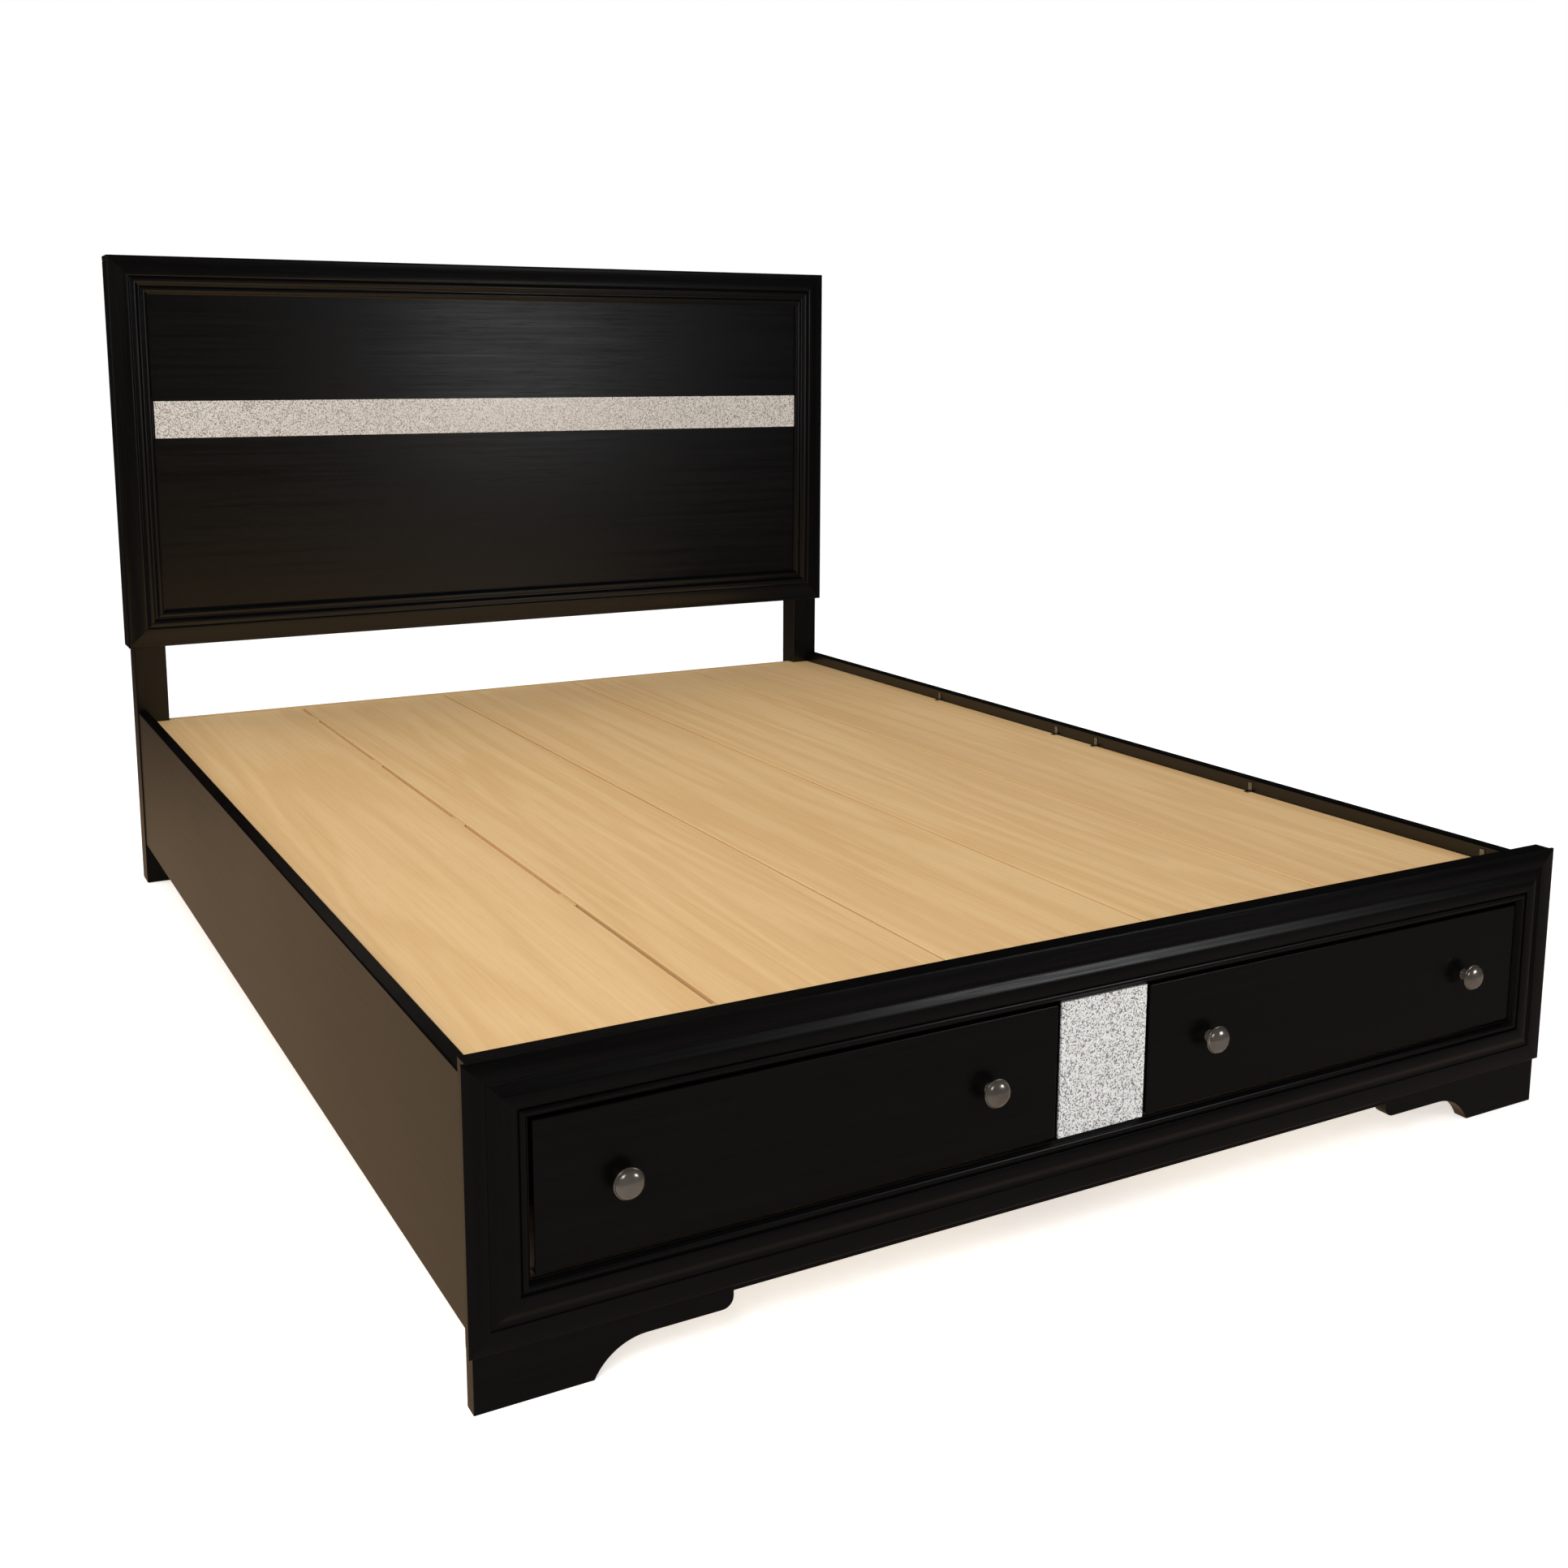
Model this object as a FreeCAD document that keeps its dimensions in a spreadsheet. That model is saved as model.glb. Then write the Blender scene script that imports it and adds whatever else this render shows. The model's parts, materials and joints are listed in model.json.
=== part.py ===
import FreeCAD, Part
import os
import re

import Sketcher

# A queen size platform bed with a panelled headboard and two drawers in the footboard.
# Millimetres, +Z up, -Y at the foot end, +X on the right of someone facing the footboard.
# The origin is on the floor, at the centre of the bed's length and width.

DIMENSIONS = {
    # overall
    "FootboardWidth": 1640,      # across the ends of the footboard
    "FrameLength": 2130,         # footboard moulding face to the back of the headboard
    "HeadboardHeight": 1295,
    "FootboardHeight": 384,
    # headboard
    "HeadOverhang": 6,           # headboard beyond the footboard, each side
    "HeadPanelBottom": 503,      # lower edge of the panelled part
    "CapThickness": 10,          # boards that close the headboard's sides and top
    "PostWidth": 63,
    "PostDepth": 54,
    "HeadMouldWidth": 76,
    "HeadMouldThickness": 12,
    "HeadCoveDepth": 7,
    "HeadCoveRadius": 90,
    "PanelThickness": 12,
    "HeadRailHeight": 75,
    "BackPanelThickness": 4,
    "BandBottom": 931,
    "BandHeight": 75,
    "BandThickness": 3,
    "BandSeam": 536,             # place of the butt joint in the band, right of the centre
    "BandSeamGap": 0.4,
    # footboard
    "FootMouldWidth": 70,
    "FootMouldThickness": 8,
    "FootMouldBottom": 66,
    "FootCoveDepth": 5,
    "FootCoveRadius": 87,
    "QuirkFromEdge": 12,         # narrow groove beside a moulding's inner bead
    "QuirkWidth": 2,
    "QuirkDepth": 3,
    "FootBoardThickness": 22,
    "BoardInset": 5,             # stiles and skirt back from the moulding's outer edge
    "SkirtBottom": 58,
    "FootWidth": 135,            # bracket foot, along the floor
    "ArchRadius": 70,
    "ArchHeight": 38,
    "ShoulderLength": 106,       # level stretch between the arch and the shoulder's end
    "ShoulderRadius": 14,
    "PostBlockWidth": 136,       # centre block between the drawers
    "GlitterPanelThickness": 3,
    "GlitterPanelMargin": 2,
    # side rails and what they carry
    "RailThickness": 20,
    "RailInset": 6,              # rail back from the footboard's end
    "RailDrop": 17,              # rail top below the footboard top
    "RailBottom": 84,
    "LedgerClearance": 3,        # ledger to the boards that carry the drawer runners
    "LedgerHeight": 40,
    # deck
    "DeckDrop": 39,              # deck top below the footboard top
    "BoardThickness": 16,
    "FirstBoardGap": 7,          # the gap beside the leftmost board
    "BoardGap": 4,
    "BoardSideClearance": 1,
    "BoardEndClearance": 0.5,
    "SlatWidth": 55,
    "SlatThickness": 22,
    "SlatSetbackFoot": 43,       # outer face of the first slat from the deck's foot end
    "SlatSetbackHead": 86,       # outer face of the last slat from the deck's head end
    "RibClearance": 0.4,         # slat rib to the boards beside the first gap
    "RibDrop": 1,                # slat rib below the deck's top
    "BeamWidth": 45,
    "BeamHeight": 45,
    "GlideHeight": 6,
    "GlideDiameter": 30,
    "CrossRailThickness": 24,
    "CrossRailHeight": 90,
    # corner irons and clips
    "IronThickness": 3,
    "IronClearance": 2,          # corner iron to the boards that carry the drawer runners
    "IronRailLeg": 50,
    "IronHeight": 100,
    "IronBottom": 150,
    "BoltDiameter": 8,
    "BoltClearance": 0.2,
    "BoltHeadHeight": 5,
    "BoltHeadDiameter": 13,
    "BoltSpacing": 60,
    "BoltReachPost": 38,         # bolt length inside a headboard post
    "BoltReachBoard": 14,        # bolt length inside a rail or a footboard stile
    "ClipWidth": 8,
    "ClipThickness": 1.5,
    "ClipHeight": 16,
    "ClipFoot": 12,
    "ClipPairSpread": 60,        # the middle slat's clips stand this far each side of it
    # drawers
    "FrontGap": 4,
    "FrontRecess": 5,            # drawer face behind the moulding face
    "FrontThickness": 18,
    "RunnerSpace": 13,           # drawer box to the runner board
    "BoxDepth": 500,
    "BoxHeight": 140,
    "BoxBottom": 152,
    "BoxWall": 12,
    "BaseThickness": 6,
    "BaseRaise": 8,              # underside of the drawer's base above the box's lower edge
    "GrooveDepth": 5,
    "GrooveClearance": 0.2,
    "KnobSpacing": 474,
    "KnobDiameter": 36,
    "KnobReach": 26,
    "KnobDome": 9,
    "KnobRim": 2.5,
    "KnobFlare": 4,
    "KnobStemDiameter": 12,
    "KnobBaseDiameter": 16,
    "KnobBaseHeight": 2,
    "ScrewDiameter": 4,
    "ScrewClearance": 0.2,
    "ScrewHeadDiameter": 8,
    "ScrewHeadHeight": 2.5,
    "ScrewReach": 8,             # screw length inside the knob
    "RunnerBoardThickness": 16,
    "RunnerBoardBottom": 145,
    "RunnerBoardHeight": 155,
    "RearGap": 37,               # free space behind a closed drawer
    "RearRailThickness": 18,
    "ChannelHeight": 40,
    "ChannelDepth": 9.5,
    "ChannelWall": 1.5,
    "ChannelBottom": 202,
    "ChannelSetback": 4,
    "SlideClearance": 0.4,
    "SlideDepth": 10.5,
}

# Places worked out from the sizes above. Y values start at the footboard moulding's face.
DERIVED = {
    "front": "(KnobReach - FrontRecess - FrameLength)/2",
    "back": "(front + FrameLength)",
    "foot_half": "(FootboardWidth/2)",
    "head_half": "(foot_half + HeadOverhang)",
    "board_front": "(front + FootMouldThickness)",
    "board_back": "(board_front + FootBoardThickness)",
    "open_half": "(foot_half - FootMouldWidth)",
    "open_low": "(FootMouldBottom + FootMouldWidth)",
    "open_high": "(FootboardHeight - FootMouldWidth)",
    "board_half": "(foot_half - BoardInset)",
    "toe": "(board_half - FootWidth)",
    "arch_rise": "(ArchRadius - ArchHeight)",
    "arch_start": "(toe - sqrt(ArchRadius*ArchRadius - arch_rise*arch_rise))",
    "shoulder": "(arch_start - ShoulderLength)",
    "block_half": "(PostBlockWidth/2)",
    "post_outer": "(head_half - CapThickness)",
    "post_inner": "(post_outer - PostWidth)",
    "post_front": "(back - PostDepth)",
    "panel_back": "(post_front + PanelThickness)",
    "head_top": "(HeadboardHeight - CapThickness)",
    "band_top": "(BandBottom + BandHeight)",
    "panel_joint": "(BandBottom + BandHeight/2)",
    "rail_outer": "(foot_half - RailInset)",
    "rail_inner": "(rail_outer - RailThickness)",
    "rail_top": "(FootboardHeight - RailDrop)",
    "deck_top": "(FootboardHeight - DeckDrop)",
    "board_low": "(deck_top - BoardThickness)",
    "slat_low": "(board_low - SlatThickness)",
    "beam_low": "(slat_low - BeamHeight)",
    "deck_half": "(rail_inner - BoardSideClearance)",
    "deck_start": "(board_back + BoardEndClearance)",
    "deck_end": "(post_front - BoardEndClearance)",
    "front_inner": "(block_half + FrontGap)",
    "front_outer": "(open_half - FrontGap)",
    "drawer_middle": "((front_inner + front_outer)/2)",
    "face_front": "(front + FrontRecess)",
    "face_back": "(face_front + FrontThickness)",
    "box_inner": "(block_half + RunnerSpace)",
    "box_outer": "(open_half - RunnerSpace)",
    "box_back": "(face_back + BoxDepth)",
    "box_top": "(BoxBottom + BoxHeight)",
    "base_low": "(BoxBottom + BaseRaise)",
    "rear_front": "(box_back + RearGap)",
    "rear_back": "(rear_front + RearRailThickness)",
    "channel_top": "(ChannelBottom + ChannelHeight)",
    "knob_height": "((open_low + open_high)/2)",
    "runner_outer": "(open_half + RunnerBoardThickness)",
    "ledger_inner": "(runner_outer + LedgerClearance)",
    "iron_inner": "(runner_outer + IronClearance)",
    "iron_middle": "(IronBottom + IronHeight/2)",
    "first_slat": "(deck_start + SlatSetbackFoot + SlatWidth/2)",
    "last_slat": "(deck_end - SlatSetbackHead - SlatWidth/2)",
}

BOARDS = 5
SLATS = 5
LEG_SLATS = (2, 3, 4)            # slats with a leg of the centre beam under them
CLIP_SLATS = (0, 1, 3)           # slats with one clip at each end
SIDES = (("left", -1), ("right", 1))

doc = FreeCAD.newDocument("StorageBed")
sizes = doc.addObject("Spreadsheet::Sheet", "Sizes")
for row, (alias, number) in enumerate(DIMENSIONS.items(), start=1):
    sizes.set(f"A{row}", alias)
    sizes.set(f"B{row}", str(number))
    sizes.setAlias(f"B{row}", alias)
doc.recompute()

pieces = []


def bind(formula):
    """Turn a formula of size and place names into one that reads the sheet."""
    def expand(match):
        word = match.group(0)
        if word in DERIVED:
            return bind(DERIVED[word])
        return f"Sizes.{word}" if word in DIMENSIONS else word
    return re.sub(r"[A-Za-z_]\w*", expand, str(formula))


def piece(label, shape_object):
    """Name an object as a finished sub-part."""
    shape_object.Label = label
    pieces.append(shape_object)
    return shape_object


def mirrored(sign, low, high):
    """The span low..high on the right of the bed, or its mirror image on the left."""
    return (low, high) if sign > 0 else (f"-({high})", f"-({low})")


def box(name, x, y, z):
    """A block between two values on each axis."""
    block = doc.addObject("Part::Box", name)
    for size, axis, (low, high) in zip(("Length", "Width", "Height"), "xyz", (x, y, z)):
        block.setExpression(size, bind(f"({high}) - ({low})"))
        block.setExpression(f"Placement.Base.{axis}", bind(low))
    return block


TURNS = {
    "x": FreeCAD.Rotation(FreeCAD.Vector(0, 1, 0), 90),
    "-x": FreeCAD.Rotation(FreeCAD.Vector(0, 1, 0), -90),
    "y": FreeCAD.Rotation(FreeCAD.Vector(1, 0, 0), -90),
    "-y": FreeCAD.Rotation(FreeCAD.Vector(1, 0, 0), 90),
    "z": FreeCAD.Rotation(),
}


def turned(kind, name, direction, start, values):
    """A round primitive that starts at a point and runs along one axis."""
    solid = doc.addObject(kind, name)
    solid.Placement = FreeCAD.Placement(FreeCAD.Vector(), TURNS[direction])
    for axis, formula in zip("xyz", start):
        solid.setExpression(f"Placement.Base.{axis}", bind(formula))
    for prop, formula in values.items():
        solid.setExpression(prop, bind(formula))
    return solid


def cylinder(name, direction, start, diameter, length):
    return turned("Part::Cylinder", name, direction, start,
                  {"Radius": f"({diameter})/2", "Height": length})


def hexagon(name, direction, start, diameter, length):
    prism = turned("Part::Prism", name, direction, start,
                   {"Circumradius": f"({diameter})/2", "Height": length})
    prism.Polygon = 6
    return prism


def fuse(name, parts):
    joined = doc.addObject("Part::MultiFuse", name)
    joined.Shapes = parts
    return joined


def group(name, parts):
    several = doc.addObject("Part::Compound", name)
    several.Links = parts
    return several


def cut(name, base, tools):
    """Take one or more tools away from a base."""
    result = doc.addObject("Part::Cut", name)
    result.Base = base
    result.Tool = tools[0] if len(tools) == 1 else group(f"{name}_tools", tools)
    return result


def origin_plane(body, role):
    return next(item for item in body.Origin.OriginFeatures if item.Role == role)


def new_sketch(body, name, role, distance):
    """A sketch on one of the body's own origin planes, moved along that plane's normal."""
    sketch = body.newObject("Sketcher::SketchObject", name)
    sketch.AttachmentSupport = (origin_plane(body, role), [""])
    sketch.MapMode = "FlatFace"
    sketch.setExpression("AttachmentOffset.Base.z", bind(distance))
    return sketch


def present_value(formula):
    """The present value of a formula of size and place names."""
    return float(sizes.evalExpression(bind(formula)))


def arc_through(start, end, radius):
    """An arc of under half a turn: a positive radius turns left on the way to its end."""
    chord = end - start
    across = FreeCAD.Vector(-chord.y, chord.x, 0).normalize()
    rise = abs(radius) - (radius * radius - chord.Length ** 2 / 4) ** 0.5
    middle = (start + end) * 0.5 - across * (rise if radius > 0 else -rise)
    return Part.Arc(start, middle, end)


def draw_outline(sketch, steps):
    """A closed outline whose corners are bound to formulas.

    A step is a corner, or the turn (1 left, -1 right) and radius of the arc to the next one."""
    corners, radii = [], []
    for step in steps:
        if step[0] in (1, -1):
            radii[-1] = step
        else:
            corners.append(step)
            radii.append(None)
    count = len(corners)
    points = [FreeCAD.Vector(present_value(x), present_value(y), 0) for x, y in corners]
    ends = []
    for index, radius in enumerate(radii):
        start, end = points[index], points[(index + 1) % count]
        if radius is None:
            sketch.addGeometry(Part.LineSegment(start, end), False)
            ends.append((1, 2))
        else:
            sign, size = radius
            sketch.addGeometry(arc_through(start, end, sign * present_value(size)), False)
            ends.append((1, 2) if sign > 0 else (2, 1))
            rule = sketch.addConstraint(Sketcher.Constraint("Radius", index,
                                                            present_value(size)))
            sketch.setExpression(f"Constraints[{rule}]", bind(size))
    for index in range(count):
        following = (index + 1) % count
        sketch.addConstraint(Sketcher.Constraint("Coincident", index, ends[index][1],
                                                 following, ends[following][0]))
    for index, corner in enumerate(corners):
        for kind, formula in zip(("DistanceX", "DistanceY"), corner):
            rule = sketch.addConstraint(Sketcher.Constraint(kind, -1, 1, index, ends[index][0],
                                                            present_value(formula)))
            sketch.setExpression(f"Constraints[{rule}]", bind(formula))


def draw_circle(sketch, centre, radius):
    """A circle whose centre and radius are bound to formulas."""
    middle = FreeCAD.Vector(present_value(centre[0]), present_value(centre[1]), 0)
    size = present_value(radius)
    sketch.addGeometry(Part.Circle(middle, FreeCAD.Vector(0, 0, 1), size), False)
    for kind, formula in zip(("DistanceX", "DistanceY"), centre):
        rule = sketch.addConstraint(Sketcher.Constraint(kind, -1, 1, 0, 3,
                                                        present_value(formula)))
        sketch.setExpression(f"Constraints[{rule}]", bind(formula))
    rule = sketch.addConstraint(Sketcher.Constraint("Radius", 0, size))
    sketch.setExpression(f"Constraints[{rule}]", bind(radius))


def pad(body, sketch, length):
    feature = body.newObject("PartDesign::Pad", f"{body.Name}_pad")
    feature.Profile = sketch
    feature.setExpression("Length", bind(length))
    return feature


def pocket(body, sketch, name):
    """Cut a sketch through the whole body, both ways from its plane."""
    doc.recompute()
    before = body.Shape.Volume
    feature = body.newObject("PartDesign::Pocket", f"{body.Name}_{name}")
    feature.Profile = sketch
    feature.Type = "ThroughAll"
    feature.Midplane = True
    doc.recompute()
    if not body.Shape.Volume < before:
        raise RuntimeError(f"{body.Name}: the {name} cut removed nothing")
    return feature


def front_body(name, corners, low, high):
    """A body with a front view outline in X and Z, between two Y values."""
    body = doc.addObject("PartDesign::Body", name)
    sketch = new_sketch(body, f"{name}_outline", "XZ_Plane", f"-({high})")
    draw_outline(sketch, corners)
    pad(body, sketch, f"({high}) - ({low})")
    return body


# Which way each side of a mitred frame faces: (along X or Z, sign of its outer edge)
FRAME_SIDES = {"top": ("X", 1), "bottom": ("X", -1), "left": ("Z", -1), "right": ("Z", 1)}


def moulding(label, side, frame):
    """One mitred length of a picture-frame moulding with a cove and a quirked inner bead."""
    run, sign = FRAME_SIDES[side]
    half, low, high, width = frame["half"], frame["low"], frame["high"], frame["width"]
    if run == "X":
        outer, inner = (high, f"({high}) - ({width})") if sign > 0 else (low, f"({low}) + ({width})")
        corners = [(f"-({half})", outer), (half, outer),
                   (f"({half}) - ({width})", inner), (f"-(({half}) - ({width}))", inner)]
    else:
        outer = half if sign > 0 else f"-({half})"
        inner = f"({outer}) - ({sign})*({width})"
        corners = [(outer, low), (outer, high),
                   (inner, f"({high}) - ({width})"), (inner, f"({low}) + ({width})")]
    face = frame["front"]
    body = front_body(label, corners, face, f"({face}) + ({frame['thick']})")
    quirk_near = f"({inner}) + ({sign})*QuirkFromEdge"
    quirk_far = f"({inner}) + ({sign})*(QuirkFromEdge + QuirkWidth)"
    cove_y = f"({face}) + ({frame['cove_depth']}) - ({frame['cove_radius']})"
    role = "YZ_Plane" if run == "X" else "XY_Plane"

    def flat(across, depth):
        return (depth, across) if run == "X" else (across, depth)

    cove = new_sketch(body, f"{label}_cove", role, "0")
    draw_circle(cove, flat(outer, cove_y), frame["cove_radius"])
    pocket(body, cove, "cove_cut")
    quirk = new_sketch(body, f"{label}_quirk", role, "0")
    bottom = f"({face}) + QuirkDepth"
    draw_outline(quirk, [flat(quirk_near, f"({face}) - 1"), flat(quirk_far, f"({face}) - 1"),
                         flat(quirk_far, bottom), flat(quirk_near, bottom)])
    pocket(body, quirk, "quirk_cut")
    return piece(label, body)


def build_headboard():
    """Posts, rails, panels, glitter band, mouldings, closing caps and a thin back."""
    for side, sign in SIDES:
        blank = box(f"post_{side}_blank", mirrored(sign, "post_inner", "post_outer"),
                    ("post_front", "back"), ("0", "head_top"))
        piece(f"headboard_post_{side}", cut(f"post_{side}", blank, post_holes(side, sign)))
    between = ("-(post_inner)", "post_inner")
    behind = ("panel_back", "back - BackPanelThickness")
    piece("headboard_top_rail", box("head_top_rail", between, behind,
                                    ("head_top - HeadRailHeight", "head_top")))
    piece("headboard_middle_rail", box("head_middle_rail", between, behind,
                                       ("panel_joint - HeadRailHeight/2",
                                        "panel_joint + HeadRailHeight/2")))
    piece("headboard_bottom_rail", box("head_bottom_rail", between, behind,
                                       ("HeadPanelBottom", "HeadPanelBottom + HeadRailHeight")))
    layer = ("post_front", "panel_back")
    piece("headboard_upper_panel", box("head_upper_panel", between, layer,
                                       ("panel_joint", "head_top")))
    piece("headboard_lower_panel", box("head_lower_panel", between, layer,
                                       ("HeadPanelBottom", "panel_joint")))
    reach = "(head_half - HeadMouldWidth)"
    band_layer = ("post_front - BandThickness", "post_front")
    height = ("BandBottom", "band_top")
    piece("headboard_glitter_band", group("head_band", [
        box("band_long", (f"-{reach}", "BandSeam - BandSeamGap/2"), band_layer, height),
        box("band_short", ("BandSeam + BandSeamGap/2", reach), band_layer, height)]))
    piece("headboard_back_panel", box("head_back_panel", between,
                                      ("back - BackPanelThickness", "back"),
                                      ("HeadPanelBottom", "head_top")))
    piece("headboard_side_caps", group("head_side_caps", [
        box(f"side_cap_{side}", mirrored(sign, "post_outer", "head_half"),
            ("post_front", "back"), ("HeadPanelBottom", "head_top"))
        for side, sign in SIDES]))
    piece("headboard_top_cap", box("head_top_cap", ("-(head_half)", "head_half"),
                                   ("post_front", "back"), ("head_top", "HeadboardHeight")))
    frame = {"half": "head_half", "low": "HeadPanelBottom", "high": "HeadboardHeight",
             "width": "HeadMouldWidth", "front": "post_front - HeadMouldThickness",
             "thick": "HeadMouldThickness", "cove_depth": "HeadCoveDepth",
             "cove_radius": "HeadCoveRadius"}
    for side in FRAME_SIDES:
        moulding(f"headboard_moulding_{side}", side, frame)


def build_footboard():
    """A rail, two stiles, a centre block, the skirt with its feet, mouldings and inlay."""
    layer = ("board_front", "board_back")
    piece("footboard_top_rail", box("foot_top_rail", ("-(open_half)", "open_half"), layer,
                                    ("open_high", "FootboardHeight")))
    for side, sign in SIDES:
        blank = box(f"stile_{side}_blank", mirrored(sign, "open_half", "board_half"), layer,
                    ("FootMouldBottom", "FootboardHeight"))
        piece(f"footboard_stile_{side}", cut(f"stile_{side}", blank, stile_holes(side, sign)))
    piece("footboard_centre_post", box("foot_centre_post", ("-(block_half)", "block_half"), layer,
                                       ("open_low", "open_high")))
    inlay = "(block_half - GlitterPanelMargin)"
    piece("footboard_glitter_panel", box("foot_glitter_panel", (f"-{inlay}", inlay),
                                         ("board_front - GlitterPanelThickness", "board_front"),
                                         ("open_low + GlitterPanelMargin",
                                          "open_high - GlitterPanelMargin")))
    frame = {"half": "foot_half", "low": "FootMouldBottom", "high": "FootboardHeight",
             "width": "FootMouldWidth", "front": "front", "thick": "FootMouldThickness",
             "cove_depth": "FootCoveDepth", "cove_radius": "FootCoveRadius"}
    for side in FRAME_SIDES:
        moulding(f"footboard_moulding_{side}", side, frame)
    build_skirt()


def build_skirt():
    """The board below the drawers: bracket feet, each with an arch and a low rounded shoulder."""
    right = [("shoulder", "SkirtBottom"), ("shoulder", "ArchHeight + ShoulderRadius"),
             (1, "ShoulderRadius"), ("shoulder + ShoulderRadius", "ArchHeight"),
             ("arch_start", "ArchHeight"), (-1, "ArchRadius"), ("toe", "0"), ("board_half", "0"),
             ("board_half", "FootMouldBottom"), ("open_half", "FootMouldBottom"),
             ("open_half", "open_low")]
    left = [step if step[0] in (1, -1) else (f"-({step[0]})", step[1])
            for step in reversed(right)]
    piece("footboard_skirt", front_body("footboard_skirt", right + left, "board_front",
                                        "board_back"))


def bolt(name, direction, start, reach):
    """A hexagon-head bolt that starts at its washer face; the shank runs in the direction."""
    back = {"x": "-x", "-x": "x", "y": "-y", "-y": "y"}[direction]
    head = hexagon(f"{name}_head", back, start, "BoltHeadDiameter", "BoltHeadHeight")
    shank = cylinder(f"{name}_shank", direction, start, "BoltDiameter",
                     f"IronThickness + {reach}")
    return fuse(name, [head, shank])


def bolt_heights():
    return ("iron_middle - BoltSpacing/2", "iron_middle + BoltSpacing/2")


def post_bolt_x(sign):
    return f"({sign})*(iron_inner + rail_inner - IronThickness)/2"


def bolt_hole(name, direction, start, reach):
    """A blind hole that gives the bolt a little room all round and at its tip."""
    return cylinder(name, direction, start, "BoltDiameter + 2*BoltClearance",
                    f"({reach}) + 1")


def post_holes(side, sign):
    return [bolt_hole(f"post_hole_{side}_{number}", "y", (post_bolt_x(sign), "post_front", height),
                      "BoltReachPost") for number, height in enumerate(bolt_heights())]


def stile_holes(side, sign):
    return [bolt_hole(f"stile_hole_{side}_{number}", "-y",
                      (post_bolt_x(sign), "board_back", height), "BoltReachBoard")
            for number, height in enumerate(bolt_heights())]


def rail_bolt_y(end):
    middle = "IronThickness + (IronRailLeg - IronThickness)/2"
    return f"board_back + {middle}" if end == "foot" else f"post_front - ({middle})"


def rail_holes(side, sign):
    direction = "x" if sign > 0 else "-x"
    return [bolt_hole(f"rail_hole_{side}_{end}_{number}", direction,
                      (f"({sign})*rail_inner", rail_bolt_y(end), height), "BoltReachBoard")
            for end in ("foot", "head") for number, height in enumerate(bolt_heights())]


def corner_iron(name, sign, end):
    """A steel angle in the corner of a rail and a post, with two holes in each leg."""
    z = ("IronBottom", "IronBottom + IronHeight")
    wall = ("board_back", "board_back + IronThickness")
    along = ("board_back", "board_back + IronRailLeg")
    hole_start = "board_back - 1"
    if end == "head":
        wall = ("post_front - IronThickness", "post_front")
        along = ("post_front - IronRailLeg", "post_front")
        hole_start = "post_front - IronThickness - 1"
    legs = fuse(f"{name}_legs", [
        box(f"{name}_post_leg", mirrored(sign, "iron_inner", "rail_inner"), wall, z),
        box(f"{name}_rail_leg", mirrored(sign, "rail_inner - IronThickness", "rail_inner"),
            along, z)])
    diameter = "BoltDiameter + 2*BoltClearance"
    holes = []
    for number, height in enumerate(bolt_heights()):
        holes.append(cylinder(f"{name}_post_hole_{number}", "y",
                              (post_bolt_x(sign), hole_start, height), diameter,
                              "IronThickness + 2"))
        holes.append(cylinder(f"{name}_rail_hole_{number}", "x",
                              (f"({sign})*(rail_inner - IronThickness/2) - IronThickness",
                               rail_bolt_y(end), height), diameter, "2*IronThickness"))
    return cut(name, legs, holes)


def build_corner_irons():
    irons, bolts = [], []
    for side, sign in SIDES:
        outward = "x" if sign > 0 else "-x"
        for end in ("foot", "head"):
            irons.append(corner_iron(f"iron_{side}_{end}", sign, end))
            for number, height in enumerate(bolt_heights()):
                into_post = ("y", "post_front - IronThickness", "BoltReachPost")
                if end == "foot":
                    into_post = ("-y", "board_back + IronThickness", "BoltReachBoard")
                direction, seat, reach = into_post
                bolts.append(bolt(f"bolt_{side}_{end}_post_{number}", direction,
                                  (post_bolt_x(sign), seat, height), reach))
                bolts.append(bolt(f"bolt_{side}_{end}_rail_{number}", outward,
                                  (f"({sign})*(rail_inner - IronThickness)", rail_bolt_y(end),
                                   height), "BoltReachBoard"))
    piece("corner_irons", group("corner_iron_set", irons))
    piece("corner_bolts", group("corner_bolt_set", bolts))


def build_rails():
    """Side rails, the ledgers that carry the slats, and the rail across the deck's head."""
    ledgers = []
    for side, sign in SIDES:
        blank = box(f"rail_{side}_blank", mirrored(sign, "rail_inner", "rail_outer"),
                    ("board_back", "post_front"), ("RailBottom", "rail_top"))
        piece(f"side_rail_{side}", cut(f"rail_{side}", blank, rail_holes(side, sign)))
        ledgers.append(box(f"ledger_{side}",
                           mirrored(sign, "ledger_inner", "rail_inner"),
                           ("board_back", "post_front"), ("slat_low - LedgerHeight", "slat_low")))
    piece("rail_ledgers", group("ledger_pair", ledgers))
    piece("head_cross_rail", box("cross_rail", ("-(post_inner)", "post_inner"),
                                 ("post_front", "post_front + CrossRailThickness"),
                                 ("deck_top - CrossRailHeight", "deck_top")))


def slat_place(index):
    """The middle of a slat: the first and last are set, the rest are evenly between them."""
    return f"first_slat + ({index})*(last_slat - first_slat)/{SLATS - 1}"


def board_edges(index):
    """The two long edges of a deck board, counted from the left."""
    gaps = f"(FirstBoardGap + {BOARDS - 2}*BoardGap)"
    board = f"((2*deck_half - {gaps})/{BOARDS})"
    past = "0" if index == 0 else f"FirstBoardGap + {index - 1}*BoardGap"
    low = f"{index}*{board} + {past} - (deck_half)"
    return low, f"{low} + {board}"


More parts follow.
